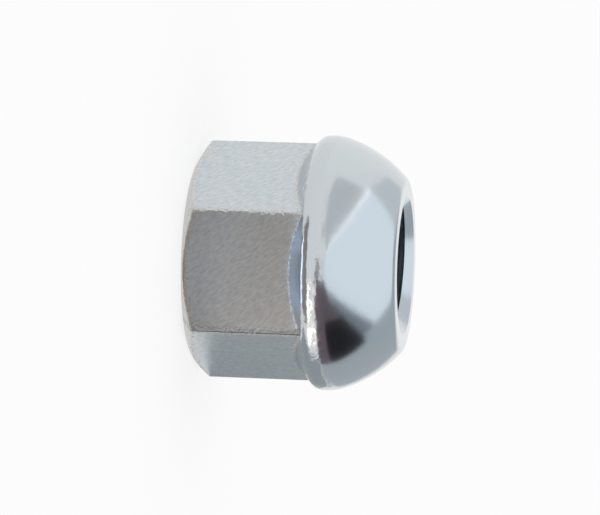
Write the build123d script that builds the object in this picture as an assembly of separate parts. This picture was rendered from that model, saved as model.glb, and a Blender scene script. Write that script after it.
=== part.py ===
from build123d import *

# Open-ended wheel nut with a ball seat, cold forged in one piece, in millimetres.
# The thread axis is Z. The nut stands on its hexagon end at z = 0, with the ball seat up.

import math
import os

# ---- driving sizes ------------------------------------------------------------------------------

LENGTH = 19.0  # hexagon end face to seat end face

ACROSS_FLATS = 19.0  # standard wheel-wrench hexagon
HEX_CORNER_RADIUS = 0.5  # forged corners of the hexagon, seen along the axis
HEX_FACE_INSET = 0.4  # from the flats in to the flat ring of the hexagon end face
HEX_CHAMFER_DEG = 30.0  # chamfer of the hexagon end, measured from the end face

THREAD_MAJOR = 12.0  # M12 x 1.5 wheel stud
THREAD_PITCH = 1.5
COUNTERSINK_EXTRA = 0.5  # mouth of each countersink, over the major diameter
COUNTERSINK_DEG = 45.0  # from the axis

NECK_DEG = 37.0  # slope of the neck cone, measured from the end face
NECK_FILLET = 0.45  # between the hexagon and the neck cone

COLLAR_OVERHANG = 0.708  # collar radius, over the corners of the hexagon
COLLAR_LAND = 0.42  # straight part of the collar
COLLAR_BACK_RADIUS = 1.2  # rounded rim between the neck cone and the collar

SEAT_OVER_COLLAR = 0.4  # ball radius, over the collar radius; it makes the standard 12 mm ball
SEAT_BLEND_RADIUS = 4.0  # between the collar and the ball seat
SEAT_END_WALL = 1.5  # from the thread's countersink out to the ball, at the seat end face
SEAT_END_RADIUS = 0.9  # rounded edge between the ball seat and its end face

# ---- fixed by the thread form and by how the solid is built ---------------------------------------

THREAD_DEPTHS = 1.0825  # major less minor diameter of a metric nut thread, in pitches
OVERLAP = 1.0  # how far a shape reaches into, or past, the one it joins or cuts

# ---- sizes that follow --------------------------------------------------------------------------

APOTHEM = ACROSS_FLATS / 2
HEX_CORNER_R = (APOTHEM - HEX_CORNER_RADIUS) / math.cos(math.pi / 6) + HEX_CORNER_RADIUS
HEX_FACE_R = APOTHEM - HEX_FACE_INSET
MINOR_R = (THREAD_MAJOR - THREAD_DEPTHS * THREAD_PITCH) / 2
MOUTH_R = (THREAD_MAJOR + COUNTERSINK_EXTRA) / 2
COUNTERSINK_DEPTH = (MOUTH_R - MINOR_R) / math.tan(math.radians(COUNTERSINK_DEG))
COLLAR_R = HEX_CORNER_R + COLLAR_OVERHANG
BALL_R = COLLAR_R + SEAT_OVER_COLLAR
SEAT_END_R = MOUTH_R + SEAT_END_WALL

# heights, worked down from the seat end face
BALL_Z = LENGTH - math.sqrt(BALL_R**2 - SEAT_END_R**2)
BLEND_Z = BALL_Z + math.sqrt((BALL_R - SEAT_BLEND_RADIUS) ** 2 - (COLLAR_R - SEAT_BLEND_RADIUS) ** 2)
RIM_Z = BLEND_Z - COLLAR_LAND
NECK_SLOPE = math.radians(NECK_DEG)
RIM_TANGENT = COLLAR_BACK_RADIUS * math.tan((math.pi / 2 - NECK_SLOPE) / 2)
CONE_TOP_Z = RIM_Z - RIM_TANGENT
NECK_Z = CONE_TOP_Z - (COLLAR_R - APOTHEM) * math.tan(NECK_SLOPE)


def outward(centre, towards, distance):
    """The point at a distance from centre, in the direction of towards, as (radius, height)."""
    share = distance / math.hypot(towards[0] - centre[0], towards[1] - centre[1])
    return tuple(c + share * (t - c) for c, t in zip(centre, towards))


def rounded_arc(centre, start, end, radius):
    """The arc about centre from start to end, by way of the point halfway between them."""
    halfway = ((start[0] + end[0]) / 2, (start[1] + end[1]) / 2)
    return ThreePointArc(start, outward(centre, halfway, radius), end)


def revolved(lines):
    """A solid of revolution about Z from a closed profile of (radius, height) lines."""
    return revolve(Plane.XZ * make_face(lines), axis=Axis.Z)


def turned(*corners):
    """A solid of revolution about Z from straight-sided profile corners (radius, height)."""
    return revolved(Polyline(*corners, close=True))


def hexagon_body():
    """The hexagon, one flat towards -Y, its outer end turned back to a chamfer cone."""
    prism = extrude(RegularPolygon(APOTHEM, 6, major_radius=False), CONE_TOP_Z)
    prism = fillet(prism.edges().filter_by(Axis.Z), HEX_CORNER_RADIUS)
    far_r = HEX_CORNER_R + OVERLAP
    far_z = (far_r - HEX_FACE_R) * math.tan(math.radians(HEX_CHAMFER_DEG))
    top = CONE_TOP_Z + OVERLAP
    return prism & turned((0, 0), (HEX_FACE_R, 0), (far_r, far_z), (far_r, top), (0, top))


def seat_head():
    """Neck cone, rounded collar and ball seat, as one turned profile."""
    inner = (APOTHEM - OVERLAP, NECK_Z - OVERLAP * math.tan(NECK_SLOPE))

    # the rounded rim touches the neck cone and the collar
    rim_start = (
        COLLAR_R - RIM_TANGENT * math.cos(NECK_SLOPE),
        CONE_TOP_Z - RIM_TANGENT * math.sin(NECK_SLOPE),
    )
    rim_end = (COLLAR_R, RIM_Z)
    rim_centre = (COLLAR_R - COLLAR_BACK_RADIUS, RIM_Z)

    # the blend touches the collar and the inside of the ball
    ball = (0, BALL_Z)
    blend_centre = (COLLAR_R - SEAT_BLEND_RADIUS, BLEND_Z)
    blend_start = (COLLAR_R, BLEND_Z)
    blend_end = outward(ball, blend_centre, BALL_R)

    # the end edge touches the inside of the ball and the end face
    edge_z = LENGTH - SEAT_END_RADIUS
    edge_r = math.sqrt((BALL_R - SEAT_END_RADIUS) ** 2 - (edge_z - BALL_Z) ** 2)
    edge_start = outward(ball, (edge_r, edge_z), BALL_R)
    edge_end = (edge_r, LENGTH)

    return revolved(
        [
            Polyline((0, LENGTH), (0, inner[1]), inner, rim_start),
            rounded_arc(rim_centre, rim_start, rim_end, COLLAR_BACK_RADIUS),
            Line(rim_end, blend_start),
            rounded_arc(blend_centre, blend_start, blend_end, SEAT_BLEND_RADIUS),
            rounded_arc(ball, blend_end, edge_start, BALL_R),
            rounded_arc((edge_r, edge_z), edge_start, edge_end, SEAT_END_RADIUS),
            Line(edge_end, (0, LENGTH)),
        ]
    )


def thread_bore():
    """The through bore at the thread's minor diameter, with a countersink at each mouth."""
    return turned(
        (0, 0),
        (MOUTH_R, 0),
        (MINOR_R, COUNTERSINK_DEPTH),
        (MINOR_R, LENGTH - COUNTERSINK_DEPTH),
        (MOUTH_R, LENGTH),
        (0, LENGTH),
    )


def neck_edges(forging):
    """The edges where the neck cone leaves the sides of the hexagon."""
    near = 0.01
    for edge in forging.edges():
        middle = edge @ 0.5
        across = math.hypot(middle.X, middle.Y)
        cone_z = NECK_Z + (across - APOTHEM) * math.tan(NECK_SLOPE)
        if across < HEX_CORNER_R + near and abs(middle.Z - cone_z) < near:
            yield edge


def lug_nut():
    forging = hexagon_body() + seat_head()
    return fillet(list(neck_edges(forging)), NECK_FILLET) - thread_bore()


os.makedirs("parts", exist_ok=True)
export_step(lug_nut(), "parts/lug_nut.step")
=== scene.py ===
import math

import bmesh
import bpy
from mathutils import Matrix, Vector


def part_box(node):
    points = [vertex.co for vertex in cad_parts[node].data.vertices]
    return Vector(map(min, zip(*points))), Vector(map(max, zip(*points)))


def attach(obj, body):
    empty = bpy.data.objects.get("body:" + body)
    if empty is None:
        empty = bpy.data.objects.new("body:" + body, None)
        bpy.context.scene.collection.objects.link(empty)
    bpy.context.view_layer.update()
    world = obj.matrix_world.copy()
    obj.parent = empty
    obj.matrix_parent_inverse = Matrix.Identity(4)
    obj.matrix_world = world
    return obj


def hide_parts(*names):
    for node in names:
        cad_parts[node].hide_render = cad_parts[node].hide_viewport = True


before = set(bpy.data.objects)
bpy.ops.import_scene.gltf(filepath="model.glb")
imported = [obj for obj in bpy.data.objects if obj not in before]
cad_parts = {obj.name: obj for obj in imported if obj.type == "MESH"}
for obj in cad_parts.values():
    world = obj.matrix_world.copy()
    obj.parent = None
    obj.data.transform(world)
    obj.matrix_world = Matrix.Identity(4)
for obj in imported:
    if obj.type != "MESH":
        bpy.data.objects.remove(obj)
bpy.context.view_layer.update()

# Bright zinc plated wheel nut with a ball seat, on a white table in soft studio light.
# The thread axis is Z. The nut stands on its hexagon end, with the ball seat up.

NUT_LOW, NUT_HIGH = (Vector(corner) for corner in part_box("lug_nut"))

# ---- sizes of the nut, in metres ------------------------------------------------------------------

MM = 0.001
LENGTH = NUT_HIGH.z - NUT_LOW.z
COLLAR_R = (NUT_HIGH.x - NUT_LOW.x) / 2

APOTHEM = 9.5 * MM
HEX_CORNER_RADIUS = 0.5 * MM
HEX_FACE_R = 9.1 * MM
HEX_CHAMFER = math.radians(30)

THREAD_MAJOR_R = 6.0 * MM
THREAD_MINOR_R = 5.188 * MM
THREAD_PITCH = 1.5 * MM
MOUTH_R = 6.25 * MM

NECK_SLOPE = math.radians(37)
NECK_FILLET = 0.45 * MM
CHAMFER_EDGE_RADIUS = 0.3 * MM
COLLAR_LAND = 0.42 * MM
COLLAR_BACK_RADIUS = 1.2 * MM
BALL_R = COLLAR_R + 0.4 * MM
BLEND_RADIUS = 4.0 * MM
SEAT_END_R = MOUTH_R + 1.5 * MM
SEAT_EDGE_RADIUS = 0.9 * MM

HEX_CORNER_R = (APOTHEM - HEX_CORNER_RADIUS) / math.cos(math.pi / 6) + HEX_CORNER_RADIUS
BALL_Z = LENGTH - math.sqrt(BALL_R**2 - SEAT_END_R**2)
BLEND_Z = BALL_Z + math.sqrt((BALL_R - BLEND_RADIUS) ** 2 - (COLLAR_R - BLEND_RADIUS) ** 2)
RIM_Z = BLEND_Z - COLLAR_LAND
RIM_TANGENT = COLLAR_BACK_RADIUS * math.tan((math.pi / 2 - NECK_SLOPE) / 2)
CONE_TOP_Z = RIM_Z - RIM_TANGENT
NECK_Z = CONE_TOP_Z - (COLLAR_R - APOTHEM) * math.tan(NECK_SLOPE)
EDGE_Z = LENGTH - SEAT_EDGE_RADIUS
EDGE_R = math.sqrt((BALL_R - SEAT_EDGE_RADIUS) ** 2 - (EDGE_Z - BALL_Z) ** 2)

ROUND_STEPS = 288  # facets round every turned surface, a multiple of the six sides
OVERLAP = 1.0 * MM  # how far one shape runs into the next before they are joined
WELD = 0.001 * MM  # points closer than this become one
SEAM_WELD = 0.004 * MM  # the same, once the hexagon and the seat are joined
SMOOTH_ANGLE = math.radians(28)  # edges that turn by less are shaded smooth
END_FACE = 0.95  # a face whose normal leans along the axis by more is an end face


# ---- working on a mesh ----------------------------------------------------------------------------

def hold(piece):
    """Puts down everything else and takes up this piece."""
    bpy.ops.object.select_all(action="DESELECT")
    piece.select_set(True)
    bpy.context.view_layer.objects.active = piece


def pick(kind, wanted):
    """In edit mode, selects only the verts, edges or faces that the test wants."""
    mesh = bpy.context.edit_object.data
    bpy.ops.mesh.select_mode(type={"verts": "VERT", "edges": "EDGE", "faces": "FACE"}[kind])
    bpy.ops.mesh.select_all(action="DESELECT")
    shape = bmesh.from_edit_mesh(mesh)
    for part in getattr(shape, kind):
        if wanted(part):
            part.select_set(True)
    bmesh.update_edit_mesh(mesh)


def across(point):
    """How far a point is from the thread axis."""
    return math.hypot(point.x, point.y)


# ---- turned profiles ------------------------------------------------------------------------------

def start_profile(name, radius, height):
    """A single point in the XZ plane, from which a profile is drawn."""
    bpy.ops.mesh.primitive_circle_add(vertices=3, radius=OVERLAP)
    profile = bpy.context.object
    profile.name = name
    bpy.ops.object.mode_set(mode="EDIT")
    highest = max(v.co.y for v in profile.data.vertices)
    pick("verts", lambda v: v.co.y < highest)
    bpy.ops.mesh.delete(type="VERT")
    bpy.ops.mesh.select_all(action="SELECT")
    bpy.ops.transform.translate(value=(radius, -highest, height))
    return profile


def pen():
    """Where the profile's last point is, as (radius, height)."""
    last = next(v for v in bmesh.from_edit_mesh(bpy.context.edit_object.data).verts if v.select)
    return last.co.x, last.co.z


def line_to(radius, height):
    here = pen()
    step = (radius - here[0], 0, height - here[1])
    bpy.ops.mesh.extrude_region_move(TRANSFORM_OT_translate={"value": step})


def arc_to(centre, end, steps):
    """An arc of the profile about centre, the short way round, ending in the direction of end."""
    here = pen()
    start_angle = math.atan2(here[1] - centre[1], here[0] - centre[0])
    end_angle = math.atan2(end[1] - centre[1], end[0] - centre[0])
    bpy.ops.mesh.spin(
        steps=steps,
        angle=end_angle - start_angle,
        center=(centre[0], 0, centre[1]),
        axis=(0, 1, 0),
    )


def turn_profile(profile):
    """Spins the drawn profile about the thread axis and closes the result."""
    bpy.ops.mesh.select_all(action="SELECT")
    bpy.ops.mesh.spin(steps=ROUND_STEPS, angle=2 * math.pi, center=(0, 0, 0), axis=(0, 0, 1))
    bpy.ops.mesh.select_all(action="SELECT")
    bpy.ops.mesh.remove_doubles(threshold=WELD)
    bpy.ops.mesh.normals_make_consistent(inside=False)
    bpy.ops.object.mode_set(mode="OBJECT")
    return profile


def join(piece, tool, operation):
    """Cuts, joins or trims the piece with a tool shape, then throws the tool away."""
    hold(piece)
    boolean = piece.modifiers.new("shape", "BOOLEAN")
    boolean.operation = operation
    boolean.solver = "EXACT"
    boolean.object = tool
    bpy.ops.object.modifier_apply(modifier=boolean.name)
    bpy.data.objects.remove(tool, do_unlink=True)


# ---- the nut --------------------------------------------------------------------------------------

def hexagon_bar():
    """Six-sided bar with rounded corners, one flat towards -Y."""
    bpy.ops.mesh.primitive_cylinder_add(
        vertices=6,
        radius=APOTHEM / math.cos(math.pi / 6),
        depth=CONE_TOP_Z,
        location=(0, 0, CONE_TOP_Z / 2),
        rotation=(0, 0, math.radians(30)),
    )
    bar = bpy.context.object
    bpy.ops.object.transform_apply(location=True, rotation=True, scale=True)
    bpy.ops.object.mode_set(mode="EDIT")
    pick("edges", lambda e: abs(e.verts[0].co.z - e.verts[1].co.z) > OVERLAP)
    setback = HEX_CORNER_RADIUS * math.tan(math.pi / 6)
    bpy.ops.mesh.bevel(offset=setback, segments=6, affect="EDGES", clamp_overlap=False)
    bpy.ops.object.mode_set(mode="OBJECT")
    return bar


def chamfer_die():
    """Solid of the forging die that turns the hexagon's end back to a 30 degree cone."""
    far_r = HEX_CORNER_R + OVERLAP
    far_z = (far_r - HEX_FACE_R) * math.tan(HEX_CHAMFER)
    die = start_profile("chamfer_die", 0, 0)
    line_to(HEX_FACE_R, 0)
    line_to(far_r, far_z)
    line_to(far_r, CONE_TOP_Z + OVERLAP)
    line_to(0, CONE_TOP_Z + OVERLAP)
    return turn_profile(die)


def seat_head():
    """Neck cone, rounded collar and ball seat."""
    head = start_profile("seat_head", 0, NECK_Z - OVERLAP * math.tan(NECK_SLOPE))
    line_to(APOTHEM - OVERLAP, pen()[1])
    line_to(
        COLLAR_R - RIM_TANGENT * math.cos(NECK_SLOPE),
        CONE_TOP_Z - RIM_TANGENT * math.sin(NECK_SLOPE),
    )
    arc_to((COLLAR_R - COLLAR_BACK_RADIUS, RIM_Z), (COLLAR_R, RIM_Z), steps=10)
    line_to(COLLAR_R, BLEND_Z)
    blend_centre = (COLLAR_R - BLEND_RADIUS, BLEND_Z)
    outwards = (blend_centre[0], BLEND_Z - BALL_Z)
    arc_to(blend_centre, (blend_centre[0] + outwards[0], BLEND_Z + outwards[1]), steps=8)
    arc_to((0, BALL_Z), (EDGE_R, EDGE_Z), steps=28)
    arc_to((EDGE_R, EDGE_Z), (EDGE_R, LENGTH), steps=7)
    line_to(0, LENGTH)
    return turn_profile(head)


def countersinks():
    """Two cones that open the mouths of the bore, joined by a core inside the thread."""
    cone = (MOUTH_R - THREAD_MINOR_R) + OVERLAP
    core_r = MOUTH_R - cone
    tool = start_profile("countersinks", 0, -OVERLAP)
    line_to(MOUTH_R + OVERLAP, -OVERLAP)
    line_to(core_r, cone)
    line_to(core_r, LENGTH - cone)
    line_to(MOUTH_R + OVERLAP, LENGTH + OVERLAP)
    line_to(0, LENGTH + OVERLAP)
    return turn_profile(tool)


def tap():
    """Right-hand M12 x 1.5 tap: one pitch of its side, screwed up through the nut."""
    lead = 2 * THREAD_PITCH
    side = start_profile("tap", THREAD_MINOR_R, -lead)
    line_to(THREAD_MINOR_R, -lead + THREAD_PITCH / 4)
    line_to(THREAD_MAJOR_R, -lead + THREAD_PITCH * 9 / 16)
    line_to(THREAD_MAJOR_R, -lead + THREAD_PITCH * 11 / 16)
    line_to(THREAD_MINOR_R, -lead + THREAD_PITCH)
    bpy.ops.object.mode_set(mode="OBJECT")
    hold(side)
    screw = side.modifiers.new("turns", "SCREW")
    screw.axis = "Z"
    screw.angle = 2 * math.pi
    screw.screw_offset = THREAD_PITCH
    screw.iterations = math.ceil((LENGTH + 2 * lead) / THREAD_PITCH)
    screw.steps = screw.render_steps = 72
    screw.use_merge_vertices = True
    screw.merge_threshold = WELD
    bpy.ops.object.modifier_apply(modifier=screw.name)
    bpy.ops.object.mode_set(mode="EDIT")
    bpy.ops.mesh.select_all(action="SELECT")
    bpy.ops.mesh.remove_doubles(threshold=WELD)
    for top in (False, True):
        pick("edges", lambda e: e.is_boundary and (e.verts[0].co.z > LENGTH / 2) == top)
        bpy.ops.mesh.extrude_region_move(TRANSFORM_OT_translate={"value": (0, 0, 0)})
        bpy.ops.mesh.merge(type="CENTER")
    bpy.ops.mesh.select_all(action="SELECT")
    bpy.ops.mesh.normals_make_consistent(inside=False)
    bpy.ops.object.mode_set(mode="OBJECT")
    return side


def chamfer_height(point):
    """Height of the chamfer cone at a point's distance from the axis."""
    return (across(point) - HEX_FACE_R) * math.tan(HEX_CHAMFER)


def neck_height(point):
    """Height of the neck cone at a point's distance from the axis."""
    return NECK_Z + (across(point) - APOTHEM) * math.tan(NECK_SLOPE)


def round_off(height, radius, turn):
    """Rounds the loop of edges where the hexagon's sides meet a cone of the given height."""
    near = 0.02 * MM
    inner, outer = APOTHEM - near, HEX_CORNER_R + near
    pick(
        "edges",
        lambda e: e.calc_face_angle(0) > math.radians(20)
        and all(inner < across(v.co) < outer and abs(v.co.z - height(v.co)) < near for v in e.verts),
    )
    setback = radius * math.tan(turn / 2)
    bpy.ops.mesh.bevel(offset=setback, segments=4, affect="EDGES", clamp_overlap=False)


def forged_nut():
    """The whole forging, with its tapped and countersunk bore."""
    nut = hexagon_bar()
    nut.name = "forged_nut"
    join(nut, chamfer_die(), "INTERSECT")
    join(nut, seat_head(), "UNION")
    hold(nut)
    bpy.ops.object.mode_set(mode="EDIT")
    bpy.ops.mesh.select_all(action="SELECT")
    bpy.ops.mesh.remove_doubles(threshold=SEAM_WELD)
    round_off(neck_height, NECK_FILLET, math.pi / 2 - NECK_SLOPE)
    round_off(chamfer_height, CHAMFER_EDGE_RADIUS, math.pi / 2 - HEX_CHAMFER)
    bpy.ops.object.mode_set(mode="OBJECT")
    join(nut, countersinks(), "DIFFERENCE")
    join(nut, tap(), "DIFFERENCE")
    hold(nut)
    bpy.ops.object.shade_smooth_by_angle(angle=SMOOTH_ANGLE)
    bpy.ops.object.modifier_add(type="WEIGHTED_NORMAL")
    nut.modifiers[-1].keep_sharp = True
    bpy.ops.object.modifier_apply(modifier=nut.modifiers[-1].name)
    return nut


# ---- surface finishes -----------------------------------------------------------------------------

PLUS = {"operation": "ADD"}
MINUS = {"operation": "SUBTRACT"}
TIMES = {"operation": "MULTIPLY"}
OVER = {"operation": "DIVIDE"}
REMAINDER = {"operation": "FLOORED_MODULO"}
UNSIGNED = {"operation": "ABSOLUTE"}
LARGER = {"operation": "MAXIMUM"}
SMALLER = {"operation": "MINIMUM"}
FADE = {"interpolation_type": "SMOOTHSTEP"}
COLOUR_MIX = {"data_type": "RGBA"}

SIXTH_TURN = math.pi / 3
HALF_FLAT = APOTHEM * math.tan(math.pi / 6)
FLATS_APART = 5 * MM  # keeps one flat's drag marks from running on into the next

DRAG_LENGTH = 0.7 * MM
DRAG_SPACING = 0.22 * MM
DRAG_SLANT = math.radians(-35)
DRAG_DEPTH = 0.05 * MM
PATCH_SIZE = 2.2 * MM  # of slightly paler and darker plating
CRUMB_SIZE = 0.32 * MM  # of the burr's lumps

BURR_RAGGED = 0.9 * MM  # how far the crumbs move the burr's inner edge
BURR_FADE_IN = 0.1 * MM  # where its edge starts to fade, short of its width
BURR_FADE_OUT = 0.15 * MM  # and where it ends, past its width
BURR_DEPTH = 0.3 * MM
CORNER_BURR = 0.15 * MM
CHAMFER_BURR = 0.35 * MM
NECK_BURR = 0.1 * MM
HEAVY_BURR = 0.42 * MM  # how much further in the heavy burr reaches
HEAVY_FADE = (0.08 * MM, 0.3 * MM)
HEAVY_SLOPE = 0.45  # how steeply the heavy burr is rolled over towards the corner
HEAVY_ROLL = 0.6 * MM  # how wide that roll is
SEAM_FADE = (0.05 * MM, 0.14 * MM)

RIPPLE_SIZE = 2.5 * MM
RIPPLE_DEPTH = 0.02 * MM
DENT_SIZE = 0.9 * MM
DENT_DEPTH = 0.07 * MM
DENT_FADE = (0.4 * MM, 1.2 * MM)  # above the collar's rim


def linear(hex_colour):
    """An sRGB hex colour as linear red, green, blue and alpha."""
    channels = [int(hex_colour[i : i + 2], 16) / 255 for i in (1, 3, 5)]
    return [c / 12.92 if c <= 0.04045 else ((c + 0.055) / 1.055) ** 2.4 for c in channels] + [1]


def add_node(tree, kind, settings=None, *in_order, **by_name):
    """Adds a node. Its own settings come first, then its inputs in order or by name, each a plain
    value, a socket or a node, whose first output is used. An input _6 is the seventh."""
    node = tree.nodes.new(kind)
    for name, value in (settings or {}).items():
        setattr(node, name, value)
    inputs = {node.inputs[place]: value for place, value in enumerate(in_order)}
    for name, value in by_name.items():
        key = int(name[1:]) if name[0] == "_" else name.replace("_", " ")
        inputs[node.inputs[key]] = value
    for socket, value in inputs.items():
        if isinstance(value, bpy.types.Node):
            value = value.outputs[0]
        if isinstance(value, bpy.types.NodeSocket):
            tree.links.new(value, socket)
        else:
            socket.default_value = value
    return node


def new_material(name):
    material = bpy.data.materials.new(name)
    material.use_nodes = True
    material.node_tree.nodes.clear()
    return material, material.node_tree


def zinc_on_flats():
    """Zinc over a hexagon trimmed cold in a die: each flat keeps fine slanting drag marks, so it
    scatters light and looks dull, and the trim's burr is rolled over along its edges, where it is
    rough and bright."""
    material, tree = new_material("bright_zinc_on_hexagon_flats")

    # where a point is on its own flat: along it from its middle, and which of the six it is
    place = add_node(tree, "ShaderNodeTexCoord").outputs["Object"]
    at = add_node(tree, "ShaderNodeSeparateXYZ", None, place)
    x, y, z = (at.outputs[axis] for axis in "XYZ")
    angle = add_node(tree, "ShaderNodeMath", {"operation": "ARCTAN2"}, y, x)
    turn = add_node(tree, "ShaderNodeMath", REMAINDER, angle, SIXTH_TURN)
    turn = add_node(tree, "ShaderNodeMath", MINUS, turn, SIXTH_TURN / 2)
    along = add_node(tree, "ShaderNodeMath", {"operation": "TANGENT"}, turn)
    along = add_node(tree, "ShaderNodeMath", TIMES, along, APOTHEM)
    number = add_node(tree, "ShaderNodeMath", OVER, angle, SIXTH_TURN)
    number = add_node(tree, "ShaderNodeMath", {"operation": "FLOOR"}, number)
    apart = add_node(tree, "ShaderNodeMath", TIMES, number, FLATS_APART)
    on_flat = add_node(tree, "ShaderNodeCombineXYZ", None, z, along, apart)

    # drag marks are taken to be finer than this, too fine to show, so they are drawn this coarse
    slant = add_node(
        tree, "ShaderNodeMapping", {"vector_type": "TEXTURE"}, Vector=on_flat,
        Rotation=(0, 0, DRAG_SLANT), Scale=(DRAG_LENGTH, DRAG_SPACING, 1 * MM),
    )
    drag = add_node(
        tree, "ShaderNodeTexNoise", None, Vector=slant, Scale=1.0, Detail=4.0, Roughness=0.65
    )
    patches = add_node(
        tree, "ShaderNodeTexNoise", None,
        Vector=place, Scale=1 / PATCH_SIZE, Detail=3.0, Roughness=0.55,
    )
    crumbs = add_node(
        tree, "ShaderNodeTexNoise", None,
        Vector=place, Scale=1 / CRUMB_SIZE, Detail=3.0, Roughness=0.6,
    )

    # how far in a point is from the corners, the chamfer and the neck
    x_squared = add_node(tree, "ShaderNodeMath", TIMES, x, x)
    y_squared = add_node(tree, "ShaderNodeMath", TIMES, y, y)
    radius = add_node(tree, "ShaderNodeMath", PLUS, x_squared, y_squared)
    radius = add_node(tree, "ShaderNodeMath", {"operation": "SQRT"}, radius)
    to_corner = add_node(tree, "ShaderNodeMath", MINUS, HALF_FLAT, along)
    from_corner = add_node(tree, "ShaderNodeMath", PLUS, HALF_FLAT, along)
    chamfer = add_node(tree, "ShaderNodeMath", MINUS, radius, HEX_FACE_R)
    chamfer = add_node(tree, "ShaderNodeMath", TIMES, chamfer, math.tan(HEX_CHAMFER))
    from_chamfer = add_node(tree, "ShaderNodeMath", MINUS, z, chamfer)
    from_chamfer = add_node(tree, "ShaderNodeMath", UNSIGNED, from_chamfer)
    neck = add_node(tree, "ShaderNodeMath", MINUS, radius, APOTHEM)
    neck = add_node(tree, "ShaderNodeMath", TIMES, neck, math.tan(NECK_SLOPE))
    to_neck = add_node(tree, "ShaderNodeMath", MINUS, neck, z)
    to_neck = add_node(tree, "ShaderNodeMath", PLUS, to_neck, NECK_Z)

    # the burr, with a ragged inner edge, and heavier along one side of every other flat
    uneven = add_node(tree, "ShaderNodeMath", MINUS, crumbs, 0.5)
    ragged = add_node(tree, "ShaderNodeMath", TIMES, uneven, BURR_RAGGED)
    heavy = add_node(tree, "ShaderNodeMath", REMAINDER, number, 2.0)
    heavy = add_node(tree, "ShaderNodeMath", MINUS, 1.0, heavy)
    further = add_node(tree, "ShaderNodeMath", TIMES, heavy, HEAVY_BURR)
    leading = add_node(tree, "ShaderNodeMath", PLUS, to_corner, ragged)
    heavy_edge = add_node(tree, "ShaderNodeMath", MINUS, leading, further)
    burr = add_node(tree, "ShaderNodeMapRange", FADE, heavy_edge, *HEAVY_FADE, 1.0, 0.0)
    edges = ((from_corner, CORNER_BURR), (from_chamfer, CHAMFER_BURR), (to_neck, NECK_BURR))
    for distance, width in edges:
        distance = add_node(tree, "ShaderNodeMath", PLUS, distance, ragged)
        start, end = width - BURR_FADE_IN, width + BURR_FADE_OUT
        band = add_node(tree, "ShaderNodeMapRange", FADE, distance, start, end, 1.0, 0.0)
        burr = add_node(tree, "ShaderNodeMath", LARGER, burr, band)
    seam = add_node(tree, "ShaderNodeMath", UNSIGNED, to_corner)
    seam = add_node(tree, "ShaderNodeMapRange", FADE, seam, *SEAM_FADE, 1.0, 0.0)
    seam = add_node(tree, "ShaderNodeMath", TIMES, seam, heavy)

    tone = add_node(
        tree, "ShaderNodeMix", COLOUR_MIX, patches, _6=linear("#CAD2D7"), _7=linear("#D6DADC")
    )
    streaks = add_node(tree, "ShaderNodeMapRange", None, drag, 0.3, 0.7, 0.8, 1.09)
    tone = add_node(
        tree, "ShaderNodeMix", COLOUR_MIX | {"blend_type": "MULTIPLY"}, 1.0,
        _6=tone.outputs[2], _7=streaks,
    )
    for mask, colour in ((burr, "#D8D8D6"), (seam, "#6F6660")):
        tone = add_node(
            tree, "ShaderNodeMix", COLOUR_MIX, mask, _6=tone.outputs[2], _7=linear(colour)
        )
    rough = add_node(tree, "ShaderNodeMapRange", None, burr, 0.0, 1.0, 0.4, 0.2)

    lumps = add_node(tree, "ShaderNodeMath", TIMES, uneven, burr)
    rolled = add_node(tree, "ShaderNodeMath", SMALLER, leading, HEAVY_ROLL)
    rolled = add_node(tree, "ShaderNodeMath", TIMES, rolled, heavy)
    rolled = add_node(tree, "ShaderNodeMath", TIMES, rolled, HEAVY_SLOPE / BURR_DEPTH)
    lumps = add_node(tree, "ShaderNodeMath", PLUS, lumps, rolled)
    bump = add_node(tree, "ShaderNodeBump", None, Strength=0.7, Distance=DRAG_DEPTH, Height=drag)
    bump = add_node(
        tree, "ShaderNodeBump", None,
        Strength=1.0, Distance=BURR_DEPTH, Height=lumps, Normal=bump,
    )
    shader = add_node(
        tree, "ShaderNodeBsdfPrincipled", None,
        Base_Color=tone.outputs[2], Metallic=1.0, Roughness=rough, Normal=bump,
    )
    add_node(tree, "ShaderNodeOutputMaterial", None, Surface=shader)
    return material


def zinc_on_seat():
    """Zinc over the turned ball seat: smooth and close to a mirror, a little blue, with small
    dents from forging round the collar that break up its highlights."""
    material, tree = new_material("bright_zinc_on_ball_seat")
    place = add_node(tree, "ShaderNodeTexCoord").outputs["Object"]
    ripple = add_node(
        tree, "ShaderNodeTexNoise", None,
        Vector=place, Scale=1 / RIPPLE_SIZE, Detail=3.0, Roughness=0.5,
    )
    dents = add_node(
        tree, "ShaderNodeTexNoise", None,
        Vector=place, Scale=1 / DENT_SIZE, Detail=2.0, Roughness=0.5,
    )
    height = add_node(tree, "ShaderNodeSeparateXYZ", None, place).outputs["Z"]
    start, end = (RIM_Z + above for above in DENT_FADE)
    collar = add_node(tree, "ShaderNodeMapRange", FADE, height, start, end, 1.0, 0.0)
    dents = add_node(tree, "ShaderNodeMath", TIMES, dents, collar)
    bump = add_node(tree, "ShaderNodeBump", None, Strength=1.0, Distance=RIPPLE_DEPTH, Height=ripple)
    bump = add_node(
        tree, "ShaderNodeBump", None, Strength=1.0, Distance=DENT_DEPTH, Height=dents, Normal=bump
    )
    shader = add_node(
        tree, "ShaderNodeBsdfPrincipled", None,
        Base_Color=linear("#C9CED2"), Metallic=1.0, Roughness=0.17, Normal=bump,
    )
    add_node(tree, "ShaderNodeOutputMaterial", None, Surface=shader)
    return material


def finish_nut(nut):
    """Gives the hexagon and the seat their own finishes, by height."""
    nut.data.materials.clear()
    nut.data.materials.append(zinc_on_seat())
    nut.data.materials.append(zinc_on_flats())
    for face in nut.data.polygons:
        middle = face.center
        outside = across(middle) > MOUTH_R
        if outside and middle.z < neck_height(middle) and abs(face.normal.z) < END_FACE:
            face.material_index = 1


# ---- camera ---------------------------------------------------------------------------------------

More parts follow.
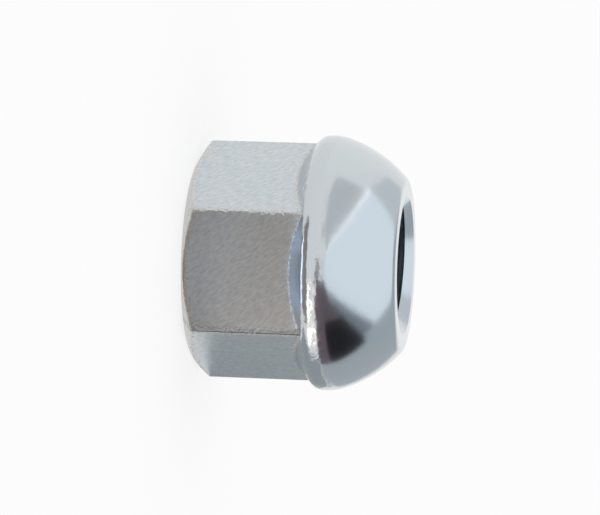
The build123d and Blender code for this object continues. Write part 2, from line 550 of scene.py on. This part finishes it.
VIEW_AZIMUTH = math.radians(-6.6)  # from -Y, minus towards -X
VIEW_ELEVATION = math.radians(8.7)
AXIS_DROOP = math.radians(1.97)  # how far the seat end sinks in the view
VIEW_DISTANCE = 300 * MM
VIEW_LENS = 196.4
AIM = (9.19 * MM, 0.08 * MM)  # the view's centre from the hexagon end, to the right and up

TO_CAMERA = Vector(
    (
        math.sin(VIEW_AZIMUTH) * math.cos(VIEW_ELEVATION),
        -math.cos(VIEW_AZIMUTH) * math.cos(VIEW_ELEVATION),
        math.sin(VIEW_ELEVATION),
    )
)
AXIS_RIGHT = (Vector((0, 0, 1)) - TO_CAMERA * TO_CAMERA.z).normalized()
AXIS_UP = TO_CAMERA.cross(AXIS_RIGHT)
RIGHT = AXIS_RIGHT * math.cos(AXIS_DROOP) + AXIS_UP * math.sin(AXIS_DROOP)
UP = TO_CAMERA.cross(RIGHT)


def camera():
    """A long lens on its side, so that the thread axis lies across the view."""
    eye = bpy.data.objects.new("camera", bpy.data.cameras.new("camera"))
    bpy.context.collection.objects.link(eye)
    eye.data.lens = VIEW_LENS
    eye.data.clip_start = 10 * MM
    place = RIGHT * AIM[0] + UP * AIM[1] + TO_CAMERA * VIEW_DISTANCE
    turn = Matrix((RIGHT, UP, TO_CAMERA)).transposed().to_4x4()
    eye.matrix_world = Matrix.Translation(place) @ turn
    bpy.context.scene.camera = eye


# ---- studio ---------------------------------------------------------------------------------------

CEILING = 300 * MM
ON_TABLE = 0.2 * MM
ABOVE_TABLE = 1.0 * MM
LAMP_HEIGHT = 1.5 * MM
DECIMETRE = 0.1
TABLE_WIDTH = 6.0
WHITE_SHARE = 0.75  # how far the table is plain white to the lens and to the nut


def glowing_card(name, colour, strength):
    """Finishes the active mesh as a card that shows only in the nut's reflections."""
    board = bpy.context.object
    board.name = name
    material, tree = new_material(name)
    glow = add_node(tree, "ShaderNodeEmission", None, linear(colour), strength)
    add_node(tree, "ShaderNodeOutputMaterial", None, Surface=glow)
    board.data.materials.append(material)
    board.visible_camera = False
    board.visible_diffuse = False
    board.visible_shadow = False


def curved_card(name, turns, heights, distance, colour, strength):
    """A card bent round the nut, between two turns from the front and two heights in degrees."""
    first, last = (math.radians(turn) for turn in turns)
    low, high = (LENGTH / 2 + distance * math.tan(math.radians(height)) for height in heights)
    start_profile(name, distance * math.sin(first), low)
    bpy.ops.transform.translate(value=(0, -distance * math.cos(first), 0))
    bpy.ops.mesh.spin(steps=24, angle=first - last, center=(0, 0, 0), axis=(0, 0, 1))
    bpy.ops.mesh.select_all(action="SELECT")
    bpy.ops.mesh.extrude_region_move(TRANSFORM_OT_translate={"value": (0, 0, high - low)})
    bpy.ops.object.mode_set(mode="OBJECT")
    glowing_card(name, colour, strength)


def flat_card(name, height, outline, colour, strength):
    """A level card at one height, with its corners in decimetres from the thread axis."""
    corners = [(x * DECIMETRE, y * DECIMETRE) for x, y in outline]
    start_profile(name, corners[0][0], height)
    bpy.ops.transform.translate(value=(0, corners[0][1], 0))
    for here, there in zip(corners, corners[1:]):
        step = (there[0] - here[0], there[1] - here[1], 0)
        bpy.ops.mesh.extrude_region_move(TRANSFORM_OT_translate={"value": step})
    bpy.ops.mesh.select_all(action="SELECT")
    bpy.ops.mesh.edge_face_add()
    bpy.ops.object.mode_set(mode="OBJECT")
    glowing_card(name, colour, strength)


def table():
    """White table, which keeps a soft shadow under the nut. The camera and the nut's reflections
    see it as mostly plain white, with a quarter of its own shading left in."""
    bpy.ops.mesh.primitive_plane_add(size=TABLE_WIDTH)
    top = bpy.context.object
    top.name = "table"
    material, tree = new_material("white_table")
    shader = add_node(
        tree, "ShaderNodeBsdfPrincipled", None,
        Base_Color=linear("#F4F4F4"), Roughness=0.7, Specular_IOR_Level=0.0,
    )
    ray = add_node(tree, "ShaderNodeLightPath")
    seen = ray.outputs["Is Camera Ray"]
    for kind in ("Is Glossy Ray", "Is Transmission Ray"):
        seen = add_node(tree, "ShaderNodeMath", LARGER, seen, ray.outputs[kind])
    share = add_node(tree, "ShaderNodeMath", TIMES, seen, WHITE_SHARE)
    white = add_node(tree, "ShaderNodeEmission", None, linear("#FFFFFF"), 1.0)
    both = add_node(tree, "ShaderNodeMixShader", None, share, shader, white)
    add_node(tree, "ShaderNodeOutputMaterial", None, Surface=both)
    top.data.materials.append(material)


def sky():
    """Even white surroundings."""
    world = bpy.data.worlds.new("white_studio")
    bpy.context.scene.world = world
    world.use_nodes = True
    tree = world.node_tree
    tree.nodes.clear()
    even = add_node(tree, "ShaderNodeBackground", None, linear("#FFFFFF"), 1.0)
    add_node(tree, "ShaderNodeOutputWorld", None, Surface=even)


CEILING_CARDS = (  # name, height, corners, colour, strength
    ("overhead_softbox", CEILING,
     ((2.4, -0.1), (1.3, 0.15), (-0.4, 0.4), (-3.5, 1.0), (-1.8, -7.0), (1.6, -12.0)),
     "#EAF2F8", 1.24),
    ("softbox_frame", CEILING,
     ((-3.5, 1.0), (-1.8, -7.0), (-2.0, -7.0), (-3.68, 1.0)), "#FFFFFF", 1.9),
    ("grey_front_ceiling", CEILING,
     ((-3.68, 0.6), (-2.0, -7.0), (-8.0, -12.0), (-12.0, -4.0), (-8.2, 0.7)), "#D2D6D9", 1.06),
    ("grey_back_ceiling", CEILING,
     ((2.4, -0.1), (3.4, -0.2), (4.2, 1.0), (5.5, 4.5), (-0.8, 4.5), (-0.4, 0.4), (1.3, 0.15)),
     "#BCC6CC", 0.95),
    ("pale_back_ceiling", CEILING,
     ((-0.4, 0.4), (-0.8, 4.5), (-3.4, 4.5), (-3.5, 1.0)), "#DFE5E8", 1.0),
    ("grey_right_ceiling", CEILING,
     ((2.4, -0.1), (1.6, -12.0), (1.7, -12.0), (3.5, -0.1)), "#8A9299", 1.0),
    ("black_right_ceiling", CEILING + 1 * MM,
     ((3.4, -0.2), (3.0, -2.6), (12.0, -10.0), (12.0, 2.0), (4.2, 1.0)), "#232226", 1.0),
    ("brown_right_ceiling", CEILING + 1 * MM,
     ((3.0, -2.6), (1.6, -12.0), (12.0, -12.0), (12.0, -10.0)), "#6E6268", 0.9),
)

TABLE_CARDS = (  # mats, a strip and lamps, all just above the table
    ("dark_front_mat", ON_TABLE,
     ((-0.06, -0.094), (0.07, -0.094), (0.07, -0.1115), (-0.06, -0.1115)), "#98928E", 1.05),
    ("pale_blue_strip", ON_TABLE,
     ((-0.06, -0.1115), (0.07, -0.1115), (0.07, -0.144), (-0.06, -0.144)), "#CFE3FF", 2.6),
    ("grey_side_mat", ABOVE_TABLE,
     ((0.12, -0.12), (0.1, 0.15), (3.0, 3.5), (3.9, 0.0)), "#BCC3C6", 0.78),
    ("warm_strip_lamp", LAMP_HEIGHT,
     ((0.08, -0.37), (0.11, -0.51), (0.35, -0.39), (0.25, -0.28)), "#FFE6CC", 6.0),
    ("warm_spot_lamp", LAMP_HEIGHT,
     ((0.27, -0.22), (0.49, -0.4), (0.57, -0.29), (0.31, -0.16)), "#FFE6CC", 8.0),
)

STANDING_CARDS = (  # name, turns from the front, heights, metres away, colour, strength
    ("dark_side_flag", (9, 98), (0, 14), 1.2, "#675C62", 1.2),
    ("grey_front_card", (-10, 9), (0, 12), 1.2, "#B0AAA8", 0.9),
    ("grey_side_card", (98, 150), (0, 40), 0.4, "#C0C7CB", 0.95),
    ("left_softbox", (-145, -98), (0, 26), 0.5, "#F5F8F6", 1.1),
    ("dark_front_card", (-32, 29), (-33, 1), 14.5 * MM, "#98928E", 1.05),
    ("dark_front_skirt", (-30, 29), (-40.1, -25), 11.2 * MM, "#98928E", 1.05),
)

nut = forged_nut()
finish_nut(nut)
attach(nut, "root")
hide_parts("lug_nut")

camera()
table()
sky()
for card in CEILING_CARDS:
    flat_card(*card)
for card in STANDING_CARDS:
    curved_card(*card)
for card in TABLE_CARDS:
    flat_card(*card)
bpy.context.scene.view_settings.view_transform = "Standard"
